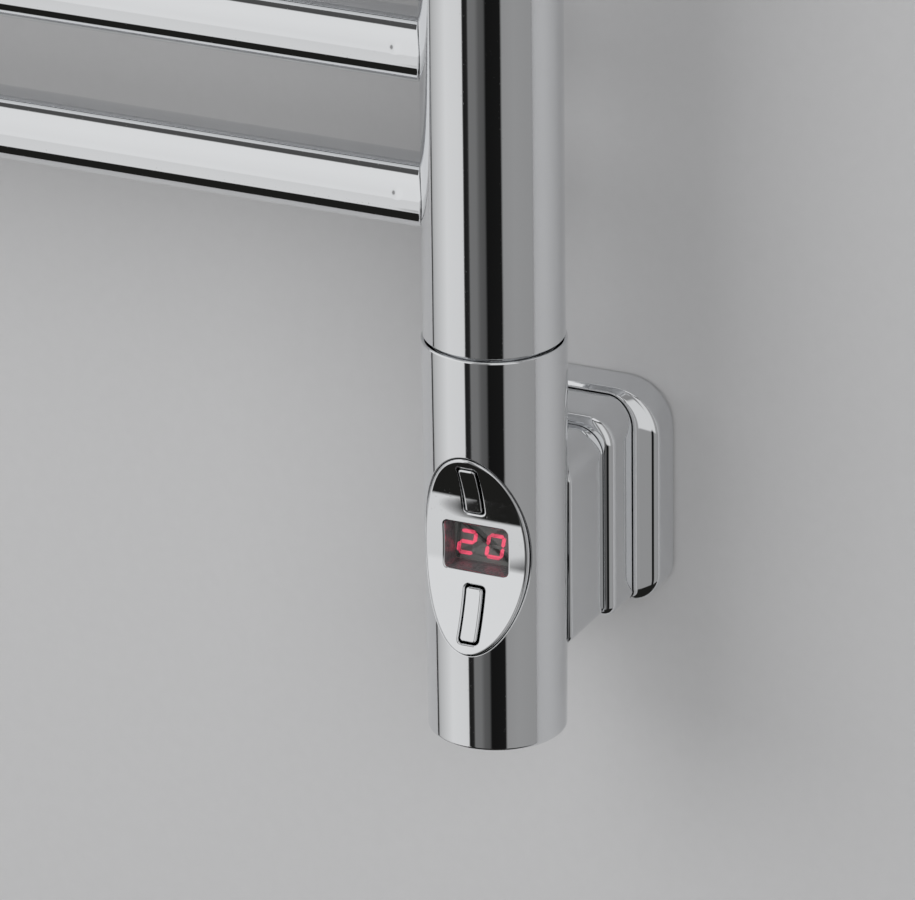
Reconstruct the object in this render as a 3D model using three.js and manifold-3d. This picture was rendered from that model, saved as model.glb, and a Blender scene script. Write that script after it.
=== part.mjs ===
// Wall-hung electric towel warmer: a chrome ladder of round rails between two round uprights,
// held off the wall by four stepped brackets, with a digital control in the lower right end.
//
// Millimetres. +X is the viewer's right, +Y goes into the wall, +Z is up. The origin lies on
// the wall, at the centre of the four brackets.

import * as THREE from 'three';
import { mergeVertices } from 'three/addons/utils/BufferGeometryUtils.js';
import Module from 'manifold-3d';

const wasm = await Module();
wasm.setup();

// ---------------------------------------------------------------- driving dimensions

const GAP = 0.3;                    // clearance between neighbouring solids

const POST_RADIUS = 19.05;          // 38.1 mm upright tube
const POST_WALL = 1.6;
const POST_OFFSET = 231;            // upright's axis from the rack's centre plane
const POST_STANDOFF = 57;           // upright's axis from the wall

const RAIL_RADIUS = 9.9;            // 19.8 mm rail tube
const RAIL_WALL = 1.4;
const RAIL_COUNT = 7;
const RAIL_PITCH = 41;
const RAIL_INTO_BORE = 2.9;         // how far a rail's end reaches past the upright's wall
const LAST_RAIL_TO_SEAM = 37.6;

const CAP_LENGTH = 114;             // end cap, from the seam to its closed end
const CAP_SEAM_RADIUS = 19.6;
const CAP_END_RADIUS = 18.85;
const CAP_WALL = 2.3;
const CAP_END_WALL = 3;
const CAP_EDGE = 0.9;
const SEAM_GAP = 0.6;
const NECK_LENGTH = 16;             // spigot of the cap inside the upright
const NECK_WALL = 1.8;

const END_DISC_DEPTH = 20;          // welded disc inside each end of an upright
const END_DISC_THICKNESS = 6;

const BRACKET_TO_SEAM = 64;         // bracket's centre beyond the seam
// The bracket's steps: near and far are their reaches from the bracket's centre towards the
// rails and towards the rack's end, each with its own corner radius.
const SADDLE = {
  halfWidth: 18.8, near: 28.2, far: 27, nearCorner: 8, farCorner: 3, front: 7, back: 28.2,
};
const SLEEVE = {
  halfWidth: 21.4, near: 31, far: 27.6, nearCorner: 8.4, farCorner: 3.5, front: 28.5, back: 53.7,
};
const COVER = {
  halfWidth: 27, near: 32.75, far: 29.05, nearCorner: 13.4, farCorner: 8, front: 47, back: 56.7,
};
const COVER_BEAD = 2.67;
const LEAST_CORNER = 0.3;           // an inner outline's corner is never sharper than this
const BRACKET_WALL = 2.5;
const BASE_THICKNESS = 3;
const SPIGOT_LENGTH = 16;
const WALL_SCREW_OFFSET = 17.5;
const WALL_SCREW = { headRadius: 4.2, headHeight: 2.4, shankRadius: 2.1 };
const WALL_SCREW_HOLE_RADIUS = 2.5;
const CLAMP_SCREW_RADIUS = 3;
const CLAMP_HEAD_RADIUS = 5;
const CLAMP_HEAD_HEIGHT = 4;
const CLAMP_SOCKET_RADIUS = 2.4;
const CLAMP_SOCKET_FLOOR = 1.5;
const CLAMP_INTO_BOSS = 3.5;        // how deep the clamp screw reaches into the cap's boss
const BOSS_END_WALL = 1.5;
const BOSS_RADIUS = 6.5;
const BOSS_DEPTH = 6;
const GRUB_RADIUS = 2;
const GRUB_LENGTH = 6;
const GRUB_SOCKET_RADIUS = 1;
const GRUB_SOCKET_DEPTH = 2;
const CABLE_WAY_RADIUS = 3.4;
const CABLE_WAY_OFFSET = 9.2;

const PANEL_TO_SEAM = 57.5;         // centre of the control panel below the seam
const PANEL_HALF_WIDTH = 15.2;
const PANEL_HALF_HEIGHT = 28.5;
const PANEL_THICKNESS = 2.2;
const SCOOP_RADIUS = 56;            // the panel is dished about a horizontal axis
const SCOOP_AXIS = -68.7;           // that axis, in front of the upright's axis
const WINDOW = { halfWidth: 9.25, halfHeight: 6.75, corner: 1.2 };
const WINDOW_COLLAR_WALL = 1.2;
const WINDOW_DEPTH = 5.6;
const BUTTON_OFFSET = 18;           // button's centre above and below the panel's centre
const BUTTON = { halfWidth: 2.45, halfHeight: 7.05, corner: 0.9 };
const BUTTON_SLOT = { halfWidth: 2.95, halfHeight: 7.55, corner: 1.2 };
const BUTTON_PROUD = 0.5;
const BUTTON_FLANGE = { halfWidth: 3.9, halfHeight: 8.2, corner: 1 };
const BUTTON_STEM_RADIUS = 1.2;

const BOARD = { halfWidth: 13.5, halfHeight: 41, front: -1, thickness: 1.6 };
const SWITCH_DEPTH = 4.2;
const SWITCH_WIDTH = 6;
const BUTTON_STEM_INTO_SWITCH = 0.6;
const FLANGE_THICKNESS = 1.2;
const RELAY = { width: 14, depth: 9, height: 18, z: -28 };
const TERMINALS = { width: 18, depth: 9, height: 9, z: 18, pitch: 5.5, well: 1.6, mouth: 3.6 };
const LENS_THICKNESS = 0.8;
const DISPLAY = { halfWidth: 10.05, halfHeight: 7.65 };
const LIGHT_GUIDE_THICKNESS = 0.4;
const SEGMENT_HEIGHT = 0.3;         // the lit segments stand this far out of the light guide
const DIGIT = { width: 5.4, height: 7.4, bar: 1, spacing: 8.28 };
const DIGITS_MIDDLE = { x: -1.65, z: -1.8 };
const SEGMENT_GAP = 0.2;

const BUSH_THREAD_RADIUS = 10.3;    // screwed fitting that carries the heating element
const BUSH_HEX_RADIUS = 13.6;
const ELEMENT_RADIUS = 4;
const ELEMENT_LENGTH = 270;
const ELEMENT_START = 6;
const SEAL_THICKNESS = 1.4;

const ROUND_LARGE = 32;             // facets round an upright or a cap
const ROUND_MEDIUM = 20;            // facets round a rail
const ROUND_SMALL = 8;              // facets round a screw or a hole
const ROUND_HEX = 6;
const ROUND_DISH = 80;              // facets round the whole circle of the panel's dish
const OVAL_SEGMENTS = 16;
const CORNER_SEGMENTS = 2;

// ---------------------------------------------------------------- derived places

const RAIL_SPAN = (RAIL_COUNT - 1) * RAIL_PITCH;
const SEAM_Z = RAIL_SPAN / 2 + LAST_RAIL_TO_SEAM;      // seam above and below the centre
const BRACKET_Z = SEAM_Z + BRACKET_TO_SEAM;
const POST_BORE = POST_RADIUS - POST_WALL;
const BASE_FRONT = POST_STANDOFF - BASE_THICKNESS;
const GRUB_Y = BASE_FRONT - SPIGOT_LENGTH / 2 - 3;
const BOSS_BACK = CAP_END_RADIUS - CAP_WALL / 2;
const BOSS_FRONT = BOSS_BACK - BOSS_DEPTH;
const PANEL_BOTTOM_Y = SCOOP_AXIS + SCOOP_RADIUS;       // deepest line of the dish
const COLLAR_BACK = PANEL_BOTTOM_Y + WINDOW_DEPTH + LENS_THICKNESS + GAP;
const LENS_FRONT = PANEL_BOTTOM_Y + WINDOW_DEPTH;
const DIGITS_FRONT = LENS_FRONT + LENS_THICKNESS + GAP;
const SWITCH_FRONT = BOARD.front - GAP - SWITCH_DEPTH;
const BOARD_BACK = BOARD.front + BOARD.thickness;
const PANEL_CUT_FRONT = -CAP_SEAM_RADIUS - 5;           // clear of everything in front
const SPIGOT = {
  halfWidth: SLEEVE.halfWidth - BRACKET_WALL - GAP,
  near: SLEEVE.near - BRACKET_WALL - GAP,
  far: SLEEVE.far - BRACKET_WALL - GAP,
  nearCorner: SLEEVE.nearCorner - BRACKET_WALL,
  farCorner: SLEEVE.farCorner - BRACKET_WALL,
};

// ---------------------------------------------------------------- materials

const chrome = new THREE.MeshStandardMaterial({ color: 0xd6d8da, roughness: 0.04, metalness: 1 });
const zinc = new THREE.MeshStandardMaterial({ color: 0x9da1a4, roughness: 0.45, metalness: 1 });
const steel = new THREE.MeshStandardMaterial({ color: 0xb4b6b8, roughness: 0.3, metalness: 1 });
const brass = new THREE.MeshStandardMaterial({ color: 0xc2a14d, roughness: 0.3, metalness: 1 });
const rubber = new THREE.MeshStandardMaterial({ color: 0x1c1c1c, roughness: 0.8, metalness: 0 });
const smoked = new THREE.MeshStandardMaterial({ color: 0x4a4c4a, roughness: 0.1, metalness: 0 });
const moulded = new THREE.MeshStandardMaterial({ color: 0x2b2d2e, roughness: 0.5, metalness: 0 });
const laminate = new THREE.MeshStandardMaterial({ color: 0x1f5a38, roughness: 0.5, metalness: 0 });
const glowing = new THREE.MeshStandardMaterial({ color: 0xf5405e, roughness: 0.4, metalness: 0 });

// ---------------------------------------------------------------- solids

// A closed solid from a three.js geometry, ready to be joined and cut.
function solid(geometry) {
  const bare = geometry.clone();
  bare.deleteAttribute('normal');
  bare.deleteAttribute('uv');
  const merged = mergeVertices(bare, 1e-4);
  const corners = merged.index.array;
  const kept = [];
  for (let i = 0; i < corners.length; i += 3) {
    const [a, b, c] = corners.slice(i, i + 3);
    if (a !== b && b !== c && c !== a) kept.push(a, b, c);
  }
  return new wasm.Manifold(new wasm.Mesh({
    numProp: 3,
    vertProperties: new Float32Array(merged.attributes.position.array),
    triVerts: new Uint32Array(kept),
  }));
}

function geometryOf(body) {
  const mesh = body.getMesh();
  const geometry = new THREE.BufferGeometry();
  geometry.setAttribute('position', new THREE.BufferAttribute(mesh.vertProperties, 3));
  geometry.setIndex(new THREE.BufferAttribute(mesh.triVerts, 1));
  geometry.computeVertexNormals();
  return geometry;
}

// Rounded rectangle in X and Z, with an optional margin added all round.
function roundedOutline({ halfWidth, halfHeight, corner }, margin = 0) {
  const step = { halfWidth, near: halfHeight, far: halfHeight, nearCorner: corner, farCorner: corner };
  return stepOutline(step, margin);
}

// The same with its own reach and corner radius at the top (near) and at the bottom (far).
function stepOutline({ halfWidth, near, far, nearCorner, farCorner }, margin = 0) {
  const w = halfWidth + margin;
  const top = near + margin;
  const bottom = -far - margin;
  const high = Math.max(nearCorner + margin, LEAST_CORNER);
  const low = Math.max(farCorner + margin, LEAST_CORNER);
  const outline = new THREE.Shape();
  outline.absarc(w - high, top - high, high, 0, Math.PI / 2);
  outline.absarc(-w + high, top - high, high, Math.PI / 2, Math.PI);
  outline.absarc(-w + low, bottom + low, low, Math.PI, 1.5 * Math.PI);
  outline.absarc(w - low, bottom + low, low, 1.5 * Math.PI, 2 * Math.PI);
  return outline;
}

function ovalOutline(margin = 0) {
  const outline = new THREE.Shape();
  outline.absellipse(0, 0, PANEL_HALF_WIDTH + margin, PANEL_HALF_HEIGHT + margin, 0, 2 * Math.PI);
  return outline;
}

// An outline in X and Z made thick from depth front to depth back, along Y.
function slab(outline, front, back, curveSegments = CORNER_SEGMENTS) {
  const geometry = new THREE.ExtrudeGeometry(outline, {
    depth: back - front,
    bevelEnabled: false,
    curveSegments,
  });
  geometry.rotateX(Math.PI / 2);
  geometry.translate(0, back, 0);
  return solid(geometry);
}

function box(width, depth, height, x, y, z) {
  return solid(new THREE.BoxGeometry(width, depth, height).translate(x, y, z));
}

// A round bar along Y from depth front to depth back.
function barAlongY(radius, front, back, z = 0, facets = ROUND_SMALL) {
  const geometry = new THREE.CylinderGeometry(radius, radius, back - front, facets);
  return solid(geometry.translate(0, (front + back) / 2, z));
}

function barAlongZ(radius, low, high, facets = ROUND_SMALL, y = 0) {
  const geometry = new THREE.CylinderGeometry(radius, radius, high - low, facets);
  geometry.rotateX(Math.PI / 2);
  return solid(geometry.translate(0, y, (low + high) / 2));
}

function barAlongX(radius, left, right, facets, y = 0, z = 0) {
  const geometry = new THREE.CylinderGeometry(radius, radius, right - left, facets);
  geometry.rotateZ(Math.PI / 2);
  return solid(geometry.translate((left + right) / 2, y, z));
}

// A body turned about Z from a profile of [radius, height] points.
function turned(profile, facets = ROUND_LARGE) {
  const points = profile.map(([radius, height]) => new THREE.Vector2(radius, height));
  const geometry = new THREE.LatheGeometry(points, facets);
  geometry.rotateX(Math.PI / 2);
  return solid(geometry);
}

// The dished surface of the control panel as a thick cylinder wall lying along X, offset
// forwards by proud and running back by thickness.
function dishedWall(proud, thickness) {
  const reach = PANEL_HALF_WIDTH + 5;
  const front = SCOOP_RADIUS - proud;
  const inner = barAlongX(front, -reach - 1, reach + 1, ROUND_DISH, SCOOP_AXIS);
  const outer = barAlongX(front + thickness, -reach, reach, ROUND_DISH, SCOOP_AXIS);
  return outer.subtract(inner);
}

// ---------------------------------------------------------------- ladder

// Upright with a hole for each rail on the side given by inward (+1 or -1), and a disc
// welded inside each end. The lower disc takes the heating element where threaded is set.
function upright(inward, threaded) {
  const tube = turned([
    [POST_BORE, -SEAM_Z], [POST_RADIUS, -SEAM_Z], [POST_RADIUS, SEAM_Z],
    [POST_BORE, SEAM_Z], [POST_BORE, -SEAM_Z],
  ]);
  const discLow = SEAM_Z - END_DISC_DEPTH - END_DISC_THICKNESS;
  const discHigh = SEAM_Z - END_DISC_DEPTH;
  const discRadius = POST_BORE + POST_WALL / 2;
  let body = tube
    .add(barAlongZ(discRadius, discLow, discHigh, ROUND_LARGE))
    .add(barAlongZ(discRadius, -discHigh, -discLow, ROUND_LARGE));
  if (threaded) {
    body = body.subtract(barAlongZ(BUSH_THREAD_RADIUS + GAP, -SEAM_Z, -discLow + 1, ROUND_MEDIUM));
  }
  for (let i = 0; i < RAIL_COUNT; i += 1) {
    const z = railHeight(i);
    const far = inward * (POST_RADIUS + 5);
    const [left, right] = inward > 0 ? [1, far] : [far, -1];
    body = body.subtract(barAlongX(RAIL_RADIUS + GAP, left, right, ROUND_MEDIUM, 0, z));
  }
  return body;
}

function railHeight(index) {
  return index * RAIL_PITCH - RAIL_SPAN / 2;
}

function rail() {
  const reach = POST_OFFSET - POST_BORE + RAIL_INTO_BORE;
  const tube = barAlongX(RAIL_RADIUS, -reach, reach, ROUND_MEDIUM);
  return tube.subtract(barAlongX(RAIL_RADIUS - RAIL_WALL, -reach - 1, reach + 1, ROUND_MEDIUM));
}

// ---------------------------------------------------------------- end caps

// Half a cap's turned profile, hanging below the seam at height 0. The neck goes up into
// the upright; margin grows the outer skin alone, for the saddle's cut.
function capSkin(margin = 0) {
  return [
    [0, -CAP_LENGTH - margin],
    [CAP_END_RADIUS - CAP_EDGE + margin, -CAP_LENGTH - margin],
    [CAP_END_RADIUS + margin, -CAP_LENGTH + CAP_EDGE],
    [CAP_SEAM_RADIUS + margin, -SEAM_GAP - CAP_EDGE / 2],
    [CAP_SEAM_RADIUS - CAP_EDGE / 2 + margin, -SEAM_GAP],
  ];
}

function cap() {
  const neckRadius = POST_BORE - GAP;
  const boreTop = CAP_SEAM_RADIUS - CAP_WALL;
  const boreEnd = CAP_END_RADIUS - CAP_WALL;
  const neckBore = neckRadius - NECK_WALL;
  const floor = -CAP_LENGTH + CAP_END_WALL;
  const shoulder = -SEAM_GAP - CAP_END_WALL;
  const shell = turned([
    ...capSkin(),
    [neckRadius, -SEAM_GAP], [neckRadius, NECK_LENGTH], [neckBore, NECK_LENGTH],
    [neckBore, shoulder], [boreTop, shoulder], [boreEnd, floor], [0, floor],
  ]);
  const screwHole = CLAMP_SCREW_RADIUS + GAP;
  return shell
    .add(barAlongY(BOSS_RADIUS, BOSS_FRONT, BOSS_BACK, -BRACKET_TO_SEAM))
    .subtract(barAlongY(screwHole, BOSS_FRONT + BOSS_END_WALL, CAP_SEAM_RADIUS + 1, -BRACKET_TO_SEAM));
}

// The lower right cap is open at the front for the control panel, and at the back for the
// supply wires.
function controlHousing() {
  const opening = slab(ovalOutline(GAP), PANEL_CUT_FRONT, -5, OVAL_SEGMENTS)
    .translate([0, 0, -PANEL_TO_SEAM]);
  return cap().subtract(opening).subtract(cableWay());
}

function cableWay() {
  return barAlongY(CABLE_WAY_RADIUS, 10, POST_STANDOFF + 5, CABLE_WAY_OFFSET - BRACKET_TO_SEAM);
}

// ---------------------------------------------------------------- brackets

// All bracket pieces are built about the bracket's centre, with Y measured from the
// upright's axis and the rails above; the upper brackets are mirror images.

// Block that hugs the back of a cap. The skin is the cap's own taper, with clearance.
function saddle(skin) {
  const block = slab(stepOutline(SADDLE), SADDLE.front, SADDLE.back);
  const pocketShape = stepOutline(SADDLE, -BRACKET_WALL);
  const pocketFront = CAP_SEAM_RADIUS + GAP + BRACKET_WALL;
  const pocket = slab(pocketShape, pocketFront, SADDLE.back + 1)
    .subtract(barAlongY(BOSS_RADIUS, pocketFront - 1, SADDLE.back + 2));
  return block
    .subtract(pocket)
    .subtract(skin)
    .subtract(barAlongY(CLAMP_SCREW_RADIUS + GAP, 0, SADDLE.back + 1));
}

// Hollow middle step, open towards the wall.
function sleeve() {
  const inside = stepOutline(SLEEVE, -BRACKET_WALL);
  const hollow = slab(inside, SLEEVE.front + BRACKET_WALL, SLEEVE.back + 1);
  return slab(stepOutline(SLEEVE), SLEEVE.front, SLEEVE.back)
    .subtract(hollow)
    .subtract(barAlongY(CLAMP_SCREW_RADIUS + GAP, 0, SLEEVE.back))
    .subtract(barAlongZ(GRUB_RADIUS + GAP, -SLEEVE.far - 1, 0, ROUND_SMALL, GRUB_Y));
}

// Outer step: a dished cover with a rounded bead round its front edge.
function cover() {
  const length = COVER.back - COVER.front;
  const rounded = new THREE.ExtrudeGeometry(stepOutline(COVER), {
    depth: length,
    bevelThickness: COVER_BEAD,
    bevelSize: COVER_BEAD,
    bevelOffset: -COVER_BEAD,
    bevelSegments: 2,
    curveSegments: CORNER_SEGMENTS,
  });
  rounded.rotateX(Math.PI / 2);
  rounded.translate(0, COVER.front + COVER_BEAD + length, 0);
  const wide = 2 * (COVER.halfWidth + 5);
  const high = 2 * (COVER.near + 5);
  const keep = box(wide, length, high, 0, (COVER.front + COVER.back) / 2, 0);
  const inside = stepOutline(COVER, -BRACKET_WALL);
  const hollow = slab(inside, COVER.front + BRACKET_WALL, COVER.back + 1);
  return solid(rounded)
    .intersect(keep)
    .subtract(hollow)
    .subtract(slab(stepOutline(SLEEVE, GAP), COVER.front - 1, COVER.back + 1));
}

// Hidden base against the wall, with a hollow spigot that the sleeve slides over.
function base() {
  const plate = slab(stepOutline(COVER, -BRACKET_WALL - 2 * GAP), BASE_FRONT, POST_STANDOFF);
  const spigotFront = BASE_FRONT - SPIGOT_LENGTH;
  const ring = slab(stepOutline(SPIGOT), spigotFront, BASE_FRONT + 1)
    .subtract(slab(stepOutline(SPIGOT, -BRACKET_WALL), spigotFront - 1, BASE_FRONT));
  let body = plate
    .add(ring)
    .subtract(barAlongZ(GRUB_RADIUS + GAP, -SPIGOT.far - 1, 0, ROUND_SMALL, GRUB_Y));
  for (const side of [-1, 1]) {
    const z = side * WALL_SCREW_OFFSET;
    body = body.subtract(barAlongY(WALL_SCREW_HOLE_RADIUS, BASE_FRONT - 1, POST_STANDOFF + 1, z));
  }
  return body;
}

// Pan head screw along Y, its head towards the viewer, cut off at the wall.
function wallScrew() {
  const { headRadius, headHeight, shankRadius } = WALL_SCREW;
  const headBack = BASE_FRONT - GAP;
  const head = barAlongY(headRadius, headBack - headHeight, headBack);
  const socketBack = headBack - headHeight / 2;
  const socket = barAlongY(headRadius * 0.4, headBack - headHeight - 1, socketBack, 0, ROUND_HEX);
  return head.add(barAlongY(shankRadius, headBack - 0.5, POST_STANDOFF)).subtract(socket);
}

// The clamping screw points forwards: its head is in the sleeve, its tip in the cap's boss.
function clampScrew() {
  const seat = SLEEVE.front + BRACKET_WALL + GAP;
  const tip = BOSS_BACK - CLAMP_INTO_BOSS;
  const back = seat + CLAMP_HEAD_HEIGHT;
  const head = barAlongY(CLAMP_HEAD_RADIUS, seat, back);
  const socketFloor = seat + CLAMP_SOCKET_FLOOR;
  const socket = barAlongY(CLAMP_SOCKET_RADIUS, socketFloor, back + 1, 0, ROUND_HEX);
  return head.add(barAlongY(CLAMP_SCREW_RADIUS, tip, seat + 0.5, 0)).subtract(socket);
}

function grubScrew() {
  const low = -SLEEVE.far + 0.4;
  const body = barAlongZ(GRUB_RADIUS, low, low + GRUB_LENGTH, ROUND_SMALL, GRUB_Y);
  const socketTop = low + GRUB_SOCKET_DEPTH;
  return body.subtract(barAlongZ(GRUB_SOCKET_RADIUS, low - 1, socketTop, ROUND_HEX, GRUB_Y));
}

// ---------------------------------------------------------------- control panel

// Everything here is built about the panel's centre, with Y measured from the upright's
// axis, so the front is at negative depths.

function faceplate() {
  const oval = slab(ovalOutline(), PANEL_CUT_FRONT, 0, OVAL_SEGMENTS);
  const dish = oval.intersect(dishedWall(0, PANEL_THICKNESS));
  const collarShape = roundedOutline(WINDOW, WINDOW_COLLAR_WALL);
  const collar = slab(collarShape, PANEL_BOTTOM_Y + 1, COLLAR_BACK);
  let body = dish.add(collar);
  body = body.subtract(slab(roundedOutline(WINDOW), PANEL_CUT_FRONT, 0));
  for (const side of [-1, 1]) {
    const slot = slab(roundedOutline(BUTTON_SLOT), PANEL_CUT_FRONT, 0);
    body = body.subtract(slot.translate([0, 0, side * BUTTON_OFFSET]));
  }
  return body;
}

// Push button: a bar whose face follows the dish, with a flange that keeps it in the panel
// and a stem that reaches into its switch. side is +1 for the upper one.
function button(side) {
  const z = side * BUTTON_OFFSET;
  const flangeFront = PANEL_BOTTOM_Y + PANEL_THICKNESS + GAP;
  const bar = slab(roundedOutline(BUTTON), PANEL_CUT_FRONT, flangeFront + 0.5)
    .translate([0, 0, z])
    .intersect(dishedWall(BUTTON_PROUD, 12));
  const flange = slab(roundedOutline(BUTTON_FLANGE), flangeFront, flangeFront + FLANGE_THICKNESS)
    .translate([0, 0, z]);
  const stemBack = SWITCH_FRONT + BUTTON_STEM_INTO_SWITCH;
  const stem = barAlongY(BUTTON_STEM_RADIUS, flangeFront + 1, stemBack, z);
  return bar.add(flange).add(stem);
}

function tactSwitch(side) {
  const z = side * BUTTON_OFFSET;
  const back = BOARD.front - GAP;
  const middle = (SWITCH_FRONT + back) / 2;
  const body = box(SWITCH_WIDTH, back - SWITCH_FRONT, SWITCH_WIDTH, 0, middle, z);
  return body.subtract(barAlongY(BUTTON_STEM_RADIUS + GAP, SWITCH_FRONT - 1, SWITCH_FRONT + 2, z));
}

function displayLens() {
  return slab(roundedOutline(WINDOW, -GAP), LENS_FRONT, LENS_FRONT + LENS_THICKNESS);
}

// Thin light guide with the lit segments of the digits "2" and "0" standing on its face.
const SEGMENTS = {
  top: { x: 0, z: 1, flat: true },
  middle: { x: 0, z: 0, flat: true },
  bottom: { x: 0, z: -1, flat: true },
  upperLeft: { x: -1, z: 0.5, flat: false },
  upperRight: { x: 1, z: 0.5, flat: false },
  lowerLeft: { x: -1, z: -0.5, flat: false },
  lowerRight: { x: 1, z: -0.5, flat: false },
};
const SHOWN = [
  ['top', 'upperRight', 'middle', 'lowerLeft', 'bottom'],
  ['top', 'upperLeft', 'upperRight', 'lowerLeft', 'lowerRight', 'bottom'],
];

function displayDigits() {
  const wide = 2 * DISPLAY.halfWidth;
  const high = 2 * DISPLAY.halfHeight;
  const plateMiddle = DIGITS_FRONT + SEGMENT_HEIGHT + LIGHT_GUIDE_THICKNESS / 2;
  let body = box(wide, LIGHT_GUIDE_THICKNESS, high, 0, plateMiddle, 0);
  const thickness = SEGMENT_HEIGHT + LIGHT_GUIDE_THICKNESS;
  const middleY = DIGITS_FRONT + thickness / 2;
  SHOWN.forEach((names, digit) => {
    for (const name of names) {
      const { x, z, flat } = SEGMENTS[name];
      const reachX = (DIGIT.width - DIGIT.bar) / 2;
      const reachZ = (DIGIT.height - DIGIT.bar) / 2;
      const length = (flat ? 2 * reachX : reachZ) - DIGIT.bar - SEGMENT_GAP;
      const [across, up] = flat ? [length, DIGIT.bar] : [DIGIT.bar, length];
      const placeX = DIGITS_MIDDLE.x + (digit - 0.5) * DIGIT.spacing + x * reachX;
      const placeZ = DIGITS_MIDDLE.z + z * reachZ;
      body = body.add(box(across, thickness, up, placeX, middleY, placeZ));
    }
  });
  return body;
}

function displayModule() {
  const front = DIGITS_FRONT + SEGMENT_HEIGHT + LIGHT_GUIDE_THICKNESS + GAP;
  const back = BOARD.front - GAP;
  const wide = 2 * DISPLAY.halfWidth;
  const high = 2 * DISPLAY.halfHeight;
  return box(wide, back - front, high, 0, (front + back) / 2, 0);
}

function controlBoard() {
  const middle = BOARD.front + BOARD.thickness / 2;
  return box(2 * BOARD.halfWidth, BOARD.thickness, 2 * BOARD.halfHeight, 0, middle, 0);
}

function relay() {
  const { width, depth, height, z } = RELAY;
  return box(width, depth, height, 0, BOARD_BACK + GAP + depth / 2, z);
}

// Terminal block for the supply wires: three clamps with their screw wells.
function terminalBlock() {
  const { width, depth, height, z, pitch, well, mouth } = TERMINALS;
  const middle = BOARD_BACK + GAP + depth / 2;
  let body = box(width, depth, height, 0, middle, z);
  for (const x of [-pitch, 0, pitch]) {
    const screwWell = barAlongY(well, middle, middle + depth, z).translate([x, 0, 0]);
    const wireMouth = box(mouth, mouth, 6, x, middle + 1, z + height / 2);
    body = body.subtract(screwWell).subtract(wireMouth);
  }
  return body;
}

// ---------------------------------------------------------------- heating element

// Built about the lower seam of the right upright, +Z up into the tube.

function elementBush() {
  const hexTop = END_DISC_DEPTH - SEAL_THICKNESS - 2 * GAP;
  const threadTop = END_DISC_DEPTH + END_DISC_THICKNESS;
  return barAlongZ(BUSH_HEX_RADIUS, hexTop - 6, hexTop, ROUND_HEX)
    .add(barAlongZ(BUSH_THREAD_RADIUS, hexTop - 1, threadTop, ROUND_MEDIUM))
    .subtract(barAlongZ(ELEMENT_RADIUS + GAP, 0, 2 * END_DISC_DEPTH));
}

function elementSeal() {
  const low = END_DISC_DEPTH - GAP - SEAL_THICKNESS;
  const inner = BUSH_THREAD_RADIUS + GAP;
  const outer = BUSH_HEX_RADIUS - 0.6;
  return turned([
    [inner, low], [outer, low], [outer, low + SEAL_THICKNESS],
    [inner, low + SEAL_THICKNESS], [inner, low],
  ], ROUND_MEDIUM);
}

function heatingElement() {
  const end = ELEMENT_START + ELEMENT_LENGTH;
  return turned([
    [0, ELEMENT_START], [ELEMENT_RADIUS, ELEMENT_START], [ELEMENT_RADIUS, end - 3],
    [ELEMENT_RADIUS * 0.6, end], [0, end],
  ], ROUND_SMALL);
}

// ---------------------------------------------------------------- assembly

const rack = new THREE.Group();

function place(name, body, material, x, y, z) {
  const mesh = new THREE.Mesh(geometryOf(body), material);
  mesh.name = name;
  mesh.position.set(x, y, z);
  rack.add(mesh);
  return mesh;
}

place('upright_right', upright(-1, true), chrome, POST_OFFSET, -POST_STANDOFF, 0);
place('upright_left', upright(1, false), chrome, -POST_OFFSET, -POST_STANDOFF, 0);
for (let i = 0; i < RAIL_COUNT; i += 1) {
  place(`rail_${i + 1}`, rail(), chrome, 0, -POST_STANDOFF, railHeight(i));
}

const CORNERS = [
  { name: 'lower_right', side: 1, up: -1 },
  { name: 'lower_left', side: -1, up: -1 },
  { name: 'upper_right', side: 1, up: 1 },
  { name: 'upper_left', side: -1, up: 1 },
];

for (const { name, side, up } of CORNERS) {
  const x = side * POST_OFFSET;
  const y = -POST_STANDOFF;
  const z = up * BRACKET_Z;
  const controlled = name === 'lower_right';
  const wireHole = cableWay().translate([0, 0, BRACKET_TO_SEAM]);
  const flip = (body) => (up > 0 ? body.mirror([0, 0, 1]) : body);
  const wired = (body) => (controlled ? body.subtract(wireHole) : body);

  const capName = controlled ? 'control_housing' : `cap_${name}`;
  place(capName, flip(controlled ? controlHousing() : cap()), chrome, x, y, up * SEAM_Z);

  const skin = turned([...capSkin(GAP), [0, -SEAM_GAP]]).translate([0, 0, BRACKET_TO_SEAM]);
  place(`saddle_${name}`, flip(wired(saddle(skin))), chrome, x, y, z);
  place(`sleeve_${name}`, flip(wired(sleeve())), chrome, x, y, z);
  place(`cover_${name}`, flip(cover()), chrome, x, y, z);
  place(`base_${name}`, flip(wired(base())), zinc, x, y, z);
  place(`clamp_screw_${name}`, clampScrew(), steel, x, y, z);
  place(`grub_screw_${name}`, flip(grubScrew()), steel, x, y, z);
  for (const [end, offset] of [['top', 1], ['bottom', -1]]) {
    place(`wall_screw_${name}_${end}`, wallScrew(), steel, x, y, z + offset * WALL_SCREW_OFFSET);
  }
}

const PANEL = [POST_OFFSET, -POST_STANDOFF, -SEAM_Z - PANEL_TO_SEAM];
place('faceplate', faceplate(), chrome, ...PANEL);
place('button_up', button(1), chrome, ...PANEL);
place('button_down', button(-1), chrome, ...PANEL);
place('switch_up', tactSwitch(1), moulded, ...PANEL);
place('switch_down', tactSwitch(-1), moulded, ...PANEL);
place('display_lens', displayLens(), smoked, ...PANEL);
place('display_digits', displayDigits(), glowing, ...PANEL);
place('display_module', displayModule(), moulded, ...PANEL);
place('control_board', controlBoard(), laminate, ...PANEL);
place('relay', relay(), moulded, ...PANEL);
place('terminal_block', terminalBlock(), moulded, ...PANEL);

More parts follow.
